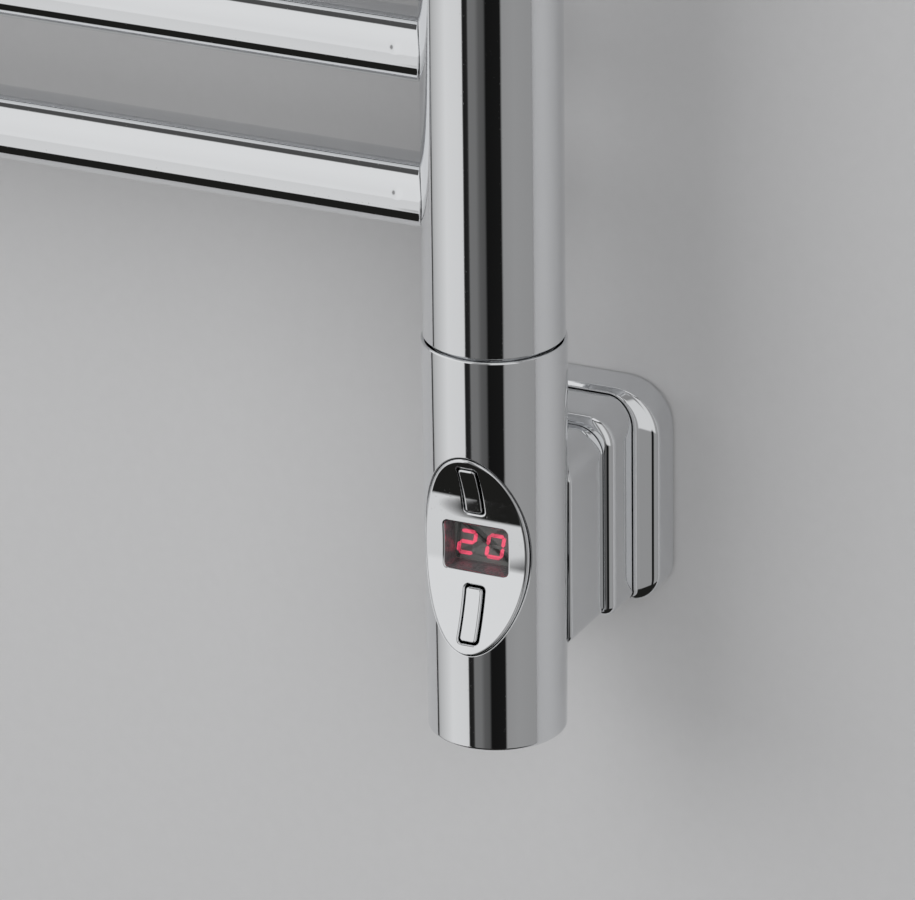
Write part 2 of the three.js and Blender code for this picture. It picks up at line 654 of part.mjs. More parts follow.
const ELEMENT = [POST_OFFSET, -POST_STANDOFF, -SEAM_Z];
place('element_bush', elementBush(), brass, ...ELEMENT);
place('element_seal', elementSeal(), rubber, ...ELEMENT);
place('heating_element', heatingElement(), steel, ...ELEMENT);

export default rack;
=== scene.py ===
"""Looks of the towel warmer rack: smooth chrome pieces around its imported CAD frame."""

import math

import bmesh
import bpy
import numpy as np
from mathutils import Matrix, Vector
from mathutils.geometry import delaunay_2d_cdt


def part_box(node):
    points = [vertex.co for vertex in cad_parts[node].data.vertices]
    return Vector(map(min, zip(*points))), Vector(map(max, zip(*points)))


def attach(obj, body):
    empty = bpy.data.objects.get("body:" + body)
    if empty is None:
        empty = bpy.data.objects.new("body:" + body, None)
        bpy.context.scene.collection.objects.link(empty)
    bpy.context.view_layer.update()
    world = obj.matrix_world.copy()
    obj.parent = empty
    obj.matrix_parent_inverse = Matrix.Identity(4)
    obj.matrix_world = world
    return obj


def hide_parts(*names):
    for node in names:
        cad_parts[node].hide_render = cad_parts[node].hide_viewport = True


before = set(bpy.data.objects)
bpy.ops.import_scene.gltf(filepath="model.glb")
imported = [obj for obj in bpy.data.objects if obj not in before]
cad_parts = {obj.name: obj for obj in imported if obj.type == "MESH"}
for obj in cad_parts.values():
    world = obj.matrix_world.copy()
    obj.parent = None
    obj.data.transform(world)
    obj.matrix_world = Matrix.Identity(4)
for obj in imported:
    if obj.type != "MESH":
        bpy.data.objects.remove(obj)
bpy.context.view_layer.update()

MM = 0.001

# -------- places, from the frame


def size_of(node):
    low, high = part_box(node)
    return np.array(low), np.array(high)


post_low, post_high = size_of("upright_right")
POST = (post_low + post_high) / 2  # middle of the right upright
POST_RADIUS = (post_high[0] - post_low[0]) / 2
POST_WALL = 1.6 * MM
SEAM_UP = post_high[2]
SEAM_DOWN = post_low[2]
housing_low, housing_high = size_of("control_housing")
CAP_LENGTH = SEAM_DOWN - housing_low[2]
CAP_SEAM_RADIUS = (housing_high[0] - housing_low[0]) / 2
CAP_END_RADIUS = CAP_SEAM_RADIUS - 0.75 * MM
NECK_LENGTH = housing_high[2] - SEAM_DOWN
SEAM_GAP = 0.6 * MM
CAP_WALL = 2.3 * MM
CAP_END_WALL = 3 * MM
NECK_WALL = 1.8 * MM
NECK_RADIUS = POST_RADIUS - POST_WALL - 0.3 * MM

panel_low, panel_high = size_of("faceplate")
PANEL_Z = (panel_low[2] + panel_high[2]) / 2
PANEL_HALF_WIDTH = (panel_high[0] - panel_low[0]) / 2
PANEL_HALF_HEIGHT = (panel_high[2] - panel_low[2]) / 2
SCOOP_RADIUS = 56 * MM  # the panel's dish, about an axis along X
SCOOP_AXIS = -68.7 * MM  # from the upright's axis, along Y
PANEL_BOTTOM = SCOOP_AXIS + SCOOP_RADIUS

RAILS = [name for name in sorted(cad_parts) if name.startswith("rail_")]
CORNERS = {
    "lower_right": (1, -1),
    "lower_left": (-1, -1),
    "upper_right": (1, 1),
    "upper_left": (-1, 1),
}

# -------- node materials


def new_material(name):
    material = bpy.data.materials.new(name)
    material.use_nodes = True
    return material, material.node_tree, material.node_tree.nodes["Principled BSDF"]


def node(tree, kind, **values):
    """A new node, with its properties by name and its inputs by their names in lower case."""
    made = tree.nodes.new(kind)
    for key, value in values.items():
        if hasattr(made, key):
            setattr(made, key, value)
        else:
            made.inputs[key.replace("_", " ").title()].default_value = value
    return made


def noise(tree, coordinates, scale, detail=4.0, roughness=0.55):
    made = node(tree, "ShaderNodeTexNoise", scale=scale, detail=detail, roughness=roughness)
    tree.links.new(coordinates, made.inputs["Vector"])
    return made.outputs["Fac"]


def spread(tree, value, low, high, start=0.0, end=1.0):
    """value, from low to high, mapped to start to end."""
    made = node(tree, "ShaderNodeMapRange")
    for socket, number in zip(("From Min", "From Max", "To Min", "To Max"), (low, high, start, end)):
        made.inputs[socket].default_value = number
    tree.links.new(value, made.inputs["Value"])
    return made.outputs["Result"]


def tinted(tree, value, dark, light):
    made = node(tree, "ShaderNodeMix", data_type="RGBA")
    made.inputs[6].default_value = (*dark, 1)
    made.inputs[7].default_value = (*light, 1)
    tree.links.new(value, made.inputs[0])
    return made.outputs[2]


def bumps(tree, heights, shader):
    """Chains (height, strength, distance) bumps into the shader's normal."""
    previous = None
    for height, strength, distance in heights:
        made = node(tree, "ShaderNodeBump")
        made.inputs["Strength"].default_value = strength
        made.inputs["Distance"].default_value = distance
        tree.links.new(height, made.inputs["Height"])
        if previous is not None:
            tree.links.new(previous, made.inputs["Normal"])
        previous = made.outputs["Normal"]
    tree.links.new(previous, shader.inputs["Normal"])


def object_space(tree, stretch=(1, 1, 1)):
    source = node(tree, "ShaderNodeTexCoord")
    mapping = node(tree, "ShaderNodeMapping")
    mapping.inputs["Scale"].default_value = stretch
    tree.links.new(source.outputs["Object"], mapping.inputs["Vector"])
    return mapping.outputs["Vector"]


def chrome(name, light=(0.83, 0.84, 0.85), dark=(0.79, 0.80, 0.815), rough=(0.02, 0.05), wave=0.02):
    """Polished plate: faint smears in the gloss, slow waves from the drawn tube, tiny pits."""
    material, tree, shader = new_material(name)
    space = object_space(tree)
    smears = noise(tree, object_space(tree, (1, 1, 0.35)), 60, 6, 0.65)
    tree.links.new(tinted(tree, noise(tree, space, 18), dark, light), shader.inputs["Base Color"])
    tree.links.new(spread(tree, smears, 0.35, 0.75, *rough), shader.inputs["Roughness"])
    shader.inputs["Metallic"].default_value = 1
    pits = spread(tree, noise(tree, space, 2600, 1), 0.72, 0.80)
    slow = noise(tree, object_space(tree, (1, 1, 0.25)), 45, 2)
    bumps(tree, [(slow, wave, 0.002), (pits, 0.06, 0.00005)], shader)
    return material


def metal(name, light, dark, rough=(0.3, 0.5), stretch=(1, 1, 1), scale=250):
    """Plated or machined metal that isn't polished, with its grain along stretch."""
    material, tree, shader = new_material(name)
    grain = noise(tree, object_space(tree, stretch), scale, 6, 0.7)
    tree.links.new(tinted(tree, grain, dark, light), shader.inputs["Base Color"])
    tree.links.new(spread(tree, grain, 0.3, 0.7, *rough), shader.inputs["Roughness"])
    shader.inputs["Metallic"].default_value = 1
    bumps(tree, [(grain, 0.15, 0.0003)], shader)
    return material


def plastic(name, light, dark, rough=(0.35, 0.55), scale=700):
    """Moulded plastic, laminate or rubber with a fine grain."""
    material, tree, shader = new_material(name)
    grain = noise(tree, object_space(tree), scale, 5, 0.6)
    tree.links.new(tinted(tree, grain, dark, light), shader.inputs["Base Color"])
    tree.links.new(spread(tree, grain, 0.3, 0.7, *rough), shader.inputs["Roughness"])
    bumps(tree, [(grain, 0.1, 0.0002)], shader)
    return material


def lit_segments():
    """Glowing red bars, their colour and brightness a little uneven."""
    material, tree, shader = new_material("lit_segments")
    uneven = noise(tree, object_space(tree), 500, 2)
    colour = tinted(tree, uneven, (0.90, 0.045, 0.12), (1.0, 0.10, 0.21))
    tree.links.new(colour, shader.inputs["Base Color"])
    tree.links.new(colour, shader.inputs["Emission Color"])
    shader.inputs["Emission Strength"].default_value = 1.45
    shader.inputs["Roughness"].default_value = 0.5
    return material


def lens():
    """Smoked window: thin, glossy and see-through."""
    material, tree, shader = new_material("smoked_window")
    haze = noise(tree, object_space(tree), 150, 4)
    colour = tinted(tree, haze, (0.21, 0.22, 0.215), (0.25, 0.26, 0.25))
    tree.links.new(colour, shader.inputs["Base Color"])
    tree.links.new(spread(tree, haze, 0.3, 0.7, 0.08, 0.14), shader.inputs["Roughness"])
    shader.inputs["Alpha"].default_value = 0.3
    shader.inputs["Specular IOR Level"].default_value = 0.03
    return material


CHROME = chrome("polished_chrome")
CHROME_PANEL = chrome("plated_plastic_chrome", wave=0.012)
ZINC = metal("zinc_plate", (0.62, 0.63, 0.64), (0.48, 0.49, 0.50), (0.35, 0.6))
STEEL = metal(
    "bright_screw_steel", (0.66, 0.66, 0.67), (0.52, 0.52, 0.53), (0.25, 0.45), (1, 0.2, 1), 500)
ELEMENT = metal(
    "drawn_stainless", (0.58, 0.57, 0.56), (0.42, 0.42, 0.42), (0.25, 0.4), (1, 1, 0.05), 600)
BRASS = metal("machined_brass", (0.75, 0.58, 0.27), (0.62, 0.46, 0.19), (0.2, 0.4), (1, 1, 8), 300)
BLACK_PLASTIC = plastic("black_moulding", (0.045, 0.045, 0.05), (0.02, 0.02, 0.022))
BOARD = plastic("solder_mask", (0.04, 0.22, 0.10), (0.02, 0.15, 0.06), (0.25, 0.4), 250)
RUBBER = plastic("seal_rubber", (0.03, 0.03, 0.03), (0.015, 0.015, 0.015), (0.7, 0.9))
# painted shade: a dark, duller material for the window's recess walls, standing in for the shade in the
# recess
RECESS_PAINTED_SHADE = plastic("painted_shade_recess", (0.20, 0.20, 0.205), (0.13, 0.13, 0.135), (0.22, 0.35), 500)
DISPLAY_FACE = plastic("display_face", (0.36, 0.37, 0.36), (0.31, 0.32, 0.31), (0.3, 0.45), 400)
UNLIT = plastic("unlit_segments", (0.47, 0.48, 0.47), (0.42, 0.43, 0.42), (0.3, 0.45), 400)
LIT = lit_segments()
LENS = lens()

# -------- mesh building


def rounded_profile(corners, closed=False, steps=6):
    """Points and outward normals of a line through corners of (u, v, fillet radius).

    The material lies on the left of the line's direction, so its normals point right.
    """
    count = len(corners)
    flat = [np.array(c[:2], float) for c in corners]

    def normal(a, b):
        along = (b - a) / np.linalg.norm(b - a)
        return np.array([along[1], -along[0]])

    points, normals = [], []
    for i, (_, _, radius) in enumerate(corners):
        here = flat[i]
        if not closed and i in (0, count - 1):
            pair = (flat[0], flat[1]) if i == 0 else (flat[-2], flat[-1])
            points.append(here)
            normals.append(normal(*pair))
            continue
        before, after = flat[i - 1], flat[(i + 1) % count]
        into, out = normal(before, here), normal(here, after)
        back = (before - here) / np.linalg.norm(before - here)
        ahead = (after - here) / np.linalg.norm(after - here)
        half = math.acos(max(-1, min(1, float(back @ ahead)))) / 2
        bisector = (back + ahead) / np.linalg.norm(back + ahead)
        centre = here + bisector * radius / math.sin(half)
        turn = math.atan2(into[0] * out[1] - into[1] * out[0], float(into @ out))
        side = 1 if turn > 0 else -1
        for k in range(steps + 1):
            angle = turn * k / steps
            cosine, sine = math.cos(angle), math.sin(angle)
            n = np.array([into[0] * cosine - into[1] * sine, into[0] * sine + into[1] * cosine])
            points.append(centre + side * n * radius)
            normals.append(n)
    return np.array(points), np.array(normals)


def circle(count):
    """Bases and outward directions of a ring swept round an axis."""
    angles = np.linspace(0, 2 * math.pi, count, endpoint=False)
    return np.zeros((count, 2)), np.stack([np.cos(angles), np.sin(angles)], 1)


def rounded_rectangle(half_width, half_height, corner, steps=12, low_corner=None):
    """Bases and outward directions of a rounded rectangle; its lower corners may differ."""
    bases, ways = [], []
    for quarter, (sx, sz) in enumerate([(1, 1), (-1, 1), (-1, -1), (1, -1)]):
        radius = corner if sz > 0 or low_corner is None else low_corner
        for k in range(steps + 1):
            angle = math.pi / 2 * (quarter + k / steps)
            way = np.array([math.cos(angle), math.sin(angle)])
            base = np.array([sx * (half_width - radius), sz * (half_height - radius)])
            bases.append(base + way * radius)
            ways.append(way)
    return np.array(bases), np.array(ways)


def ring(outline, u, v, normal, axis):
    """One ring of a swept profile: the outline grown by u, at v along axis Y or Z."""
    bases, ways = outline
    flat = bases + ways * u
    tilt = ways * normal[0]
    depth = np.full(len(flat), v)
    lean = np.full(len(flat), normal[1])
    if axis == "y":
        return np.stack([flat[:, 0], depth, flat[:, 1]], 1), np.stack([tilt[:, 0], lean, tilt[:, 1]], 1)
    return np.stack([flat[:, 0], flat[:, 1], depth], 1), np.stack([tilt[:, 0], tilt[:, 1], lean], 1)


def swept_along_y(outline, corners, steps):
    """Rings of a profile of (growth, depth, fillet) that runs round an outline."""
    profile, normals = rounded_profile(corners, steps=steps)
    return [ring(outline, p[0], p[1], -n, "y") for p, n in zip(profile, normals)]


class Surface:
    """Collects vertices, their normals and faces, and makes a Blender mesh of them."""

    def __init__(self):
        self.points, self.normals, self.faces = [], [], []

    def add(self, points, normals):
        start = sum(len(p) for p in self.points)
        self.points.append(np.asarray(points, float))
        self.normals.append(np.asarray(normals, float))
        return np.arange(start, start + len(points))

    def bridge(self, a, b):
        for k in range(len(a)):
            n = (k + 1) % len(a)
            self.faces.append((a[k], a[n], b[n], b[k]))

    def cap(self, loop, reverse=False):
        self.faces.append(tuple(loop[::-1]) if reverse else tuple(loop))

    def rings(self, rings, closed=False, capped=True):
        """Joins rings of (points, normals) in a row, closed on itself or capped at its ends."""
        loops = [self.add(*r) for r in rings]
        for a, b in zip(loops, loops[1:]):
            self.bridge(a, b)
        if closed:
            self.bridge(loops[-1], loops[0])
        elif capped:
            self.cap(loops[0], reverse=True)
            self.cap(loops[-1])
        return loops

    def object(self, name, material, origin=(0, 0, 0), flip_z=False):
        points = np.concatenate(self.points)
        normals = np.concatenate(self.normals)
        if flip_z:
            points = points * (1, 1, -1)
            normals = normals * (1, 1, -1)
        length = np.linalg.norm(normals, axis=1, keepdims=True)
        normals = normals / np.maximum(length, 1e-12)
        points = points + np.array(origin)
        mesh = bpy.data.meshes.new(name)
        mesh.from_pydata(points.tolist(), [], outward_faces(points, self.faces))
        mesh.shade_smooth()
        mesh.normals_split_custom_set_from_vertices(normals.tolist())
        mesh.materials.append(material)
        made = bpy.data.objects.new(name, mesh)
        bpy.context.scene.collection.objects.link(made)
        return made


def outward_faces(points, faces):
    """The faces of a closed body, each wound so that it looks outwards."""
    draft = bpy.data.meshes.new("draft")
    draft.from_pydata(points.tolist(), [], [[int(corner) for corner in face] for face in faces])
    body = bmesh.new()
    body.from_mesh(draft)
    bpy.data.meshes.remove(draft)
    body.normal_update()
    source = body.faces.layers.int.new("source")
    before = []
    for index, face in enumerate(body.faces):
        face[source] = index
        before.append(face.normal.copy())
    bmesh.ops.remove_doubles(body, verts=body.verts, dist=1e-7)
    bmesh.ops.recalc_face_normals(body, faces=body.faces)
    wound = []
    for face in body.faces:
        corners = [int(corner) for corner in faces[face[source]]]
        turned_over = face.normal.dot(before[face[source]]) < 0
        wound.append(corners[::-1] if turned_over else corners)
    body.free()
    return wound


def turned(name, corners, material, origin, closed=False, flip_z=False, count=160, steps=6):
    """A body turned about Z from a profile of (radius, height, fillet)."""
    surface = Surface()
    points, normals = rounded_profile(corners, closed, steps)
    outline = circle(count)
    surface.rings([ring(outline, p[0], p[1], n, "z") for p, n in zip(points, normals)], closed)
    return surface.object(name, material, origin, flip_z)


def finish_piece(piece, body, material_slot, *nodes):
    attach(piece, body)
    if nodes:
        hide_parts(*nodes)


# -------- ladder


def upright(side):
    node_name = "upright_right" if side > 0 else "upright_left"
    bore = POST_RADIUS - POST_WALL
    corners = [
        (POST_RADIUS, SEAM_DOWN, 0.45 * MM),
        (POST_RADIUS, SEAM_UP, 0.45 * MM),
        (bore, SEAM_UP, 0.2 * MM),
        (bore, SEAM_DOWN, 0.2 * MM),
    ]
    tube = turned(f"{node_name}_tube", corners, CHROME, (side * POST[0], POST[1], 0), closed=True)
    finish_piece(tube, "rack", "chrome_tube", node_name)


RAIL_INTO_POST = 2.2 * MM
DENT_TO_POST = 4.6 * MM
DENT_ANGLE = math.radians(168)  # just above the rail's foremost line
DENT_SIZE = 0.75 * MM
DENT_DEPTH = 0.22 * MM
DENT_REACH = 9 * MM  # from the upright to where the rail is plain again


def rail(node_name):
    """Round rail, coped and brazed to the uprights, with a small dent near each end."""
    low, high = size_of(node_name)
    radius = (high[2] - low[2]) / 2
    z = (low[2] + high[2]) / 2
    fillet = 0.7 * MM
    steps = 6
    count = 128
    angles = np.linspace(0, 2 * math.pi, count, endpoint=False)
    across, up = np.cos(angles), np.sin(angles)
    surface = Surface()

    def coped(grown, gap, lean):
        """A ring at one end: its radius grown, at a gap from the upright's skin."""
        r = radius + grown
        y = r * across
        skin = POST[0] - np.sqrt((POST_RADIUS - 0.02 * MM) ** 2 - y ** 2)
        points = np.stack([skin - gap, y, r * up], 1)
        ahead, aside = np.full(count, -math.sin(lean)), math.cos(lean)
        return points, np.stack([ahead, aside * across, aside * up], 1)

    def dented(gap):
        """A plain ring at a gap from the upright, pressed in a little where the dent is."""
        points, normals = coped(0, gap, 0)
        along = points[:, 0] - (POST[0] - POST_RADIUS - DENT_TO_POST)
        turn = (angles - DENT_ANGLE + math.pi) % (2 * math.pi) - math.pi
        round_rail = radius * turn
        depth = DENT_DEPTH * np.exp(-(along ** 2 + round_rail ** 2) / (2 * DENT_SIZE ** 2))
        radial = np.stack([np.zeros(count), across, up], 1)
        tangent = np.stack([np.zeros(count), -up, across], 1)
        fall = (depth / DENT_SIZE ** 2)[:, None]
        points = points - radial * depth[:, None]
        normals = normals - fall * (along[:, None] * (1, 0, 0) + round_rail[:, None] * tangent)
        return points, normals

    ends = [dented(gap) for gap in np.linspace(DENT_REACH, 2 * fillet, 22)]
    for k in range(steps + 1):
        lean = math.pi / 2 * k / steps
        ends.append(coped(fillet * (1 - math.cos(lean)), fillet * (1 - math.sin(lean)), lean))
    r = radius - 1 * MM
    inside = POST[0] - POST_RADIUS + RAIL_INTO_POST
    plug = np.stack([np.full(count, inside), r * across, r * up], 1)
    ends.append((plug, np.tile([1.0, 0, 0], (count, 1))))
    mirrored = [(p * (-1, 1, 1), n * (-1, 1, 1)) for p, n in ends]
    surface.rings(mirrored[::-1] + ends)
    piece = surface.object(f"{node_name}_tube", CHROME, (0, POST[1], z))
    finish_piece(piece, "rack", "chrome_tube", node_name)


# -------- end caps


def cap_outside():
    """Profile of a cap's outer skin, from its closed end to its shoulder at the seam."""
    dish = 0.5 * MM
    return [
        (0.5 * MM, -CAP_LENGTH + dish, 0),
        (CAP_END_RADIUS - 3.2 * MM, -CAP_LENGTH + dish, 0.3 * MM),
        (CAP_END_RADIUS - 2.6 * MM, -CAP_LENGTH, 0.4 * MM),
        (CAP_END_RADIUS, -CAP_LENGTH, 1.0 * MM),
    ]


def cap_inside():
    """The rest of the profile: the shoulder, the neck and the bore, back to the end."""
    neck_bore = NECK_RADIUS - NECK_WALL
    bore_top = CAP_SEAM_RADIUS - CAP_WALL
    bore_end = CAP_END_RADIUS - CAP_WALL
    floor = -CAP_LENGTH + CAP_END_WALL
    shoulder = -SEAM_GAP - CAP_END_WALL
    edge = 0.15 * MM
    return [
        (NECK_RADIUS, -SEAM_GAP, 0.08 * MM),
        (NECK_RADIUS, NECK_LENGTH, edge),
        (neck_bore, NECK_LENGTH, edge),
        (neck_bore, shoulder, edge),
        (bore_top, shoulder, edge),
        (bore_end, floor, edge),
        (0.5 * MM, floor, 0),
    ]


def plain_cap(corner):
    side, up = CORNERS[corner]
    seam = (CAP_SEAM_RADIUS, -SEAM_GAP, 0.5 * MM)
    origin = (side * POST[0], POST[1], SEAM_UP if up > 0 else SEAM_DOWN)
    piece = turned(
        f"end_cap_{corner}", cap_outside() + [seam] + cap_inside(), CHROME, origin, flip_z=up > 0
    )
    finish_piece(piece, "rack", "chrome_casting", f"cap_{corner}")


def housing():
    """The lower right cap, with an oval opening in front for the control panel."""
    columns, rows = 240, 76
    half_columns, half_rows = 46, 24
    outline = circle(columns)
    top = -SEAM_GAP - 1.2 * MM
    bottom = -CAP_LENGTH + 2 * MM
    centre_row_z = PANEL_Z - SEAM_DOWN
    pitch = (top - bottom) / rows
    centre_row = round((centre_row_z - bottom) / pitch)
    slope = (CAP_SEAM_RADIUS - CAP_END_RADIUS) / CAP_LENGTH

    def skin_radius(z):
        return CAP_SEAM_RADIUS + slope * z

    surface = Surface()
    front = 3 * columns // 4  # the column at the front

    def skin(inset, sign):
        """Grid of the skin at a depth below the surface, without the panel's rectangle."""
        loops = []
        for row in range(rows + 1):
            z = bottom + pitch * row
            normal = (sign, -sign * slope)
            loops.append(surface.add(*ring(outline, skin_radius(z) - inset, z, normal, "z")))
        for row in range(rows):
            inside_rows = abs(row + 0.5 - centre_row) < half_rows
            for column in range(columns):
                if inside_rows and abs(column + 0.5 - front) < half_columns:
                    continue
                n = (column + 1) % columns
                a, b = loops[row], loops[row + 1]
                surface.faces.append(flipped((a[column], a[n], b[n], b[column]), sign))
        left, right = front - half_columns, front + half_columns
        low, high = centre_row - half_rows, centre_row + half_rows
        border = [loops[low][c] for c in range(left, right)]
        border += [loops[r][right] for r in range(low, high)]
        border += [loops[high][c] for c in range(right, left, -1)]
        border += [loops[r][left] for r in range(high, low, -1)]
        return loops, border

    def flipped(face, sign):
        return face if sign > 0 else face[::-1]

    def opening(border, inset, sign, margin):
        """Rings that narrow from the rectangle to the oval, and the oval's last ring."""
        all_points = np.concatenate(surface.points)
        edge = all_points[border]
        angle = np.arctan2(edge[:, 0], -edge[:, 1])
        height = edge[:, 2]
        half_angle = half_columns * 2 * math.pi / columns
        half_height = half_rows * pitch
        middle = bottom + pitch * centre_row
        turn = np.arctan2((height - middle) / half_height, angle / half_angle)
        x = (PANEL_HALF_WIDTH + margin) * np.cos(turn)
        z = centre_row_z + (PANEL_HALF_HEIGHT + margin) * np.sin(turn)
        oval_angle = np.arcsin(x / (skin_radius(z) - inset))
        previous = np.array(border)
        steps = 16
        for k in range(1, steps + 1):
            share = 1 - (1 - k / steps) ** 1.6
            a = angle + (oval_angle - angle) * share
            h = height + (z - height) * share
            r = skin_radius(h) - inset
            points = np.stack([r * np.sin(a), -r * np.cos(a), h], 1)
            normals = np.stack([np.sin(a), -np.cos(a), np.full(len(a), -slope)], 1) * sign
            loop = surface.add(points, normals)
            for i in range(len(loop)):
                n = (i + 1) % len(loop)
                surface.faces.append(flipped((previous[i], previous[n], loop[n], loop[i]), sign))
            previous = loop
        return previous, points, normals

    outer_loops, outer_border = skin(0, 1)
    inner_loops, inner_border = skin(CAP_WALL, -1)
    lip = 0.3 * MM
    outer_oval, points, normals = opening(outer_border, 0, 1, 0.3 * MM + lip)
    inner_oval, _, _ = opening(inner_border, CAP_WALL, -1, 0.3 * MM)
    along = np.roll(points, -1, 0) - np.roll(points, 1, 0)
    along /= np.linalg.norm(along, axis=1, keepdims=True)
    inward = np.cross(normals, along)
    previous = outer_oval
    for k in range(1, 5):
        angle = math.pi / 2 * k / 4
        lean = normals * math.cos(angle) + inward * math.sin(angle)
        loop = surface.add(points - normals * lip + lean * lip, lean)
        surface.bridge(previous, loop)
        previous = loop
    surface.bridge(previous, inner_oval)

    start, start_n = rounded_profile(
        cap_outside() + [(skin_radius(bottom), bottom, 0)], steps=8)
    end_rings = [ring(outline, p[0], p[1], n, "z") for p, n in zip(start[:-1], start_n[:-1])]
    loops = surface.rings(end_rings, capped=False)
    surface.cap(loops[0], reverse=True)
    surface.bridge(loops[-1], outer_loops[0])
    neck, neck_n = rounded_profile(
        [(skin_radius(top), top, 0), (CAP_SEAM_RADIUS, -SEAM_GAP, 0.5 * MM)] + cap_inside(), steps=6)
    past_shoulder = -SEAM_GAP - CAP_END_WALL - 0.2 * MM
    split = next(index for index, point in enumerate(neck) if point[1] < past_shoulder)
    neck_rings = [ring(outline, p[0], p[1], n, "z") for p, n in zip(neck[1:split], neck_n[1:split])]
    loops = surface.rings(neck_rings, capped=False)
    surface.bridge(outer_loops[-1], loops[0])
    surface.bridge(loops[-1], inner_loops[-1])
    floor_loop = surface.add(*ring(outline, *neck[-1], neck_n[-1], "z"))
    surface.bridge(inner_loops[0], floor_loop)
    surface.cap(floor_loop)
    piece = surface.object("control_housing_shell", CHROME, (POST[0], POST[1], SEAM_DOWN))
    finish_piece(piece, "rack", "chrome_casting", "control_housing")


# -------- wall brackets


def bracket_frame(name, corner):
    """Half width, half height, front, back and centre of a bracket piece."""
    low, high = size_of(f"{name}_{corner}")
    centre = (low + high) / 2
    return (high[0] - low[0]) / 2, (high[2] - low[2]) / 2, low[1], high[1], centre


def saddle(corner):
    half_width, half_height, front, back, centre = bracket_frame("saddle", corner)
    up = CORNERS[corner][1]
    outline = rounded_rectangle(half_width, half_height, 8 * MM, 12, 3 * MM)
    seam = SEAM_UP if up > 0 else SEAM_DOWN
    edge = 1.0 * MM
    profile, lean = rounded_profile(
        [(-4 * MM, back, 0), (0, back, 0.25 * MM), (0, front, edge), (-2.5 * MM, front, 0)], steps=8)
    lean = -lean
    surface = Surface()

    def cut(points, normals, hidden):
        """Keeps the saddle clear of the cap behind whose back it sits."""
        x = points[:, 0]
        beyond = np.abs(points[:, 2] * -up + centre[2] - seam)
        radius = CAP_SEAM_RADIUS - (CAP_SEAM_RADIUS - CAP_END_RADIUS) * beyond / CAP_LENGTH + 0.12 * MM
        depth = POST[1] + np.sqrt(np.maximum(radius ** 2 - x ** 2, 0))
        moved = (np.abs(x) < radius) & (points[:, 1] < depth)
        points[moved, 1] = depth[moved]
        if hidden:
            facing = np.stack([-x, -(depth - POST[1]), np.zeros_like(x)], 1)
            normals[moved] = facing[moved]
        return points, normals

    rings = []
    for (u, v), n in zip(profile, lean):
        points, normals = ring(outline, u, v, n, "y")
        rings.append(cut(points, normals, hidden=u < -edge * 0.6 and v < front + 2 * edge))
    points, normals = ring(outline, -2.5 * MM, front, (0, -1), "y")
    for share in (0.9, 0.75, 0.6, 0.45, 0.3, 0.15, 0.03):
        shrunk = points * (share, 1, share)
        shrunk[:, 1] = front
        rings.append(cut(shrunk, normals.copy(), hidden=True))
    surface.rings(rings)
    piece = surface.object(f"bracket_saddle_{corner}", CHROME, (centre[0], 0, centre[2]), flip_z=up > 0)
    finish_piece(piece, "rack", "chrome_casting", f"saddle_{corner}")


def sleeve(corner):
    half_width, half_height, front, back, centre = bracket_frame("sleeve", corner)
    outline = rounded_rectangle(half_width, half_height, 8.4 * MM, 16, 3.5 * MM)
    wall = 2.5 * MM
    surface = Surface()
    surface.rings(swept_along_y(outline, [
        (-6 * MM, front + wall, 0), (-wall, front + wall, 0.3 * MM), (-wall, back, 0.2 * MM),
        (0, back, 0.3 * MM), (0, front, 2.6 * MM), (-8 * MM, front, 0),
    ], steps=8))
    flip_z = CORNERS[corner][1] > 0
    piece = surface.object(f"bracket_sleeve_{corner}", CHROME, (centre[0], 0, centre[2]), flip_z)
    finish_piece(piece, "rack", "chrome_casting", f"sleeve_{corner}")


def flare_line():
    """The cover's front in section, from its side in to the sleeve.

    A round edge turns the normal from sideways to its least tilt, and a hollow flare turns it
    back. Each entry is the reach inwards, the depth from the crest line, and the normal's tilt.
    """
    edge, hollow, straight = 2.67 * MM, 2.34 * MM, 2.93 * MM
    least, middle, most = math.radians(25), math.radians(35), math.radians(90)
    line = []
    for tilt in np.linspace(most, least, 12):
        line.append((edge * (1 - math.sin(tilt)), edge * (math.cos(least) - math.cos(tilt)), tilt))
    start = edge * (1 - math.sin(least))
    for tilt in np.linspace(least, middle, 4)[1:]:
        reach = start + hollow * (math.sin(tilt) - math.sin(least))
        line.append((reach, -hollow * (math.cos(least) - math.cos(tilt)), tilt))
    on, down = straight * math.cos(middle), straight * math.sin(middle)
    for tilt in np.linspace(middle, most, 10):
        reach = start + on + hollow * (math.sin(tilt) - math.sin(least))
        line.append((reach, -down - hollow * (math.cos(least) - math.cos(tilt)), tilt))
    return line


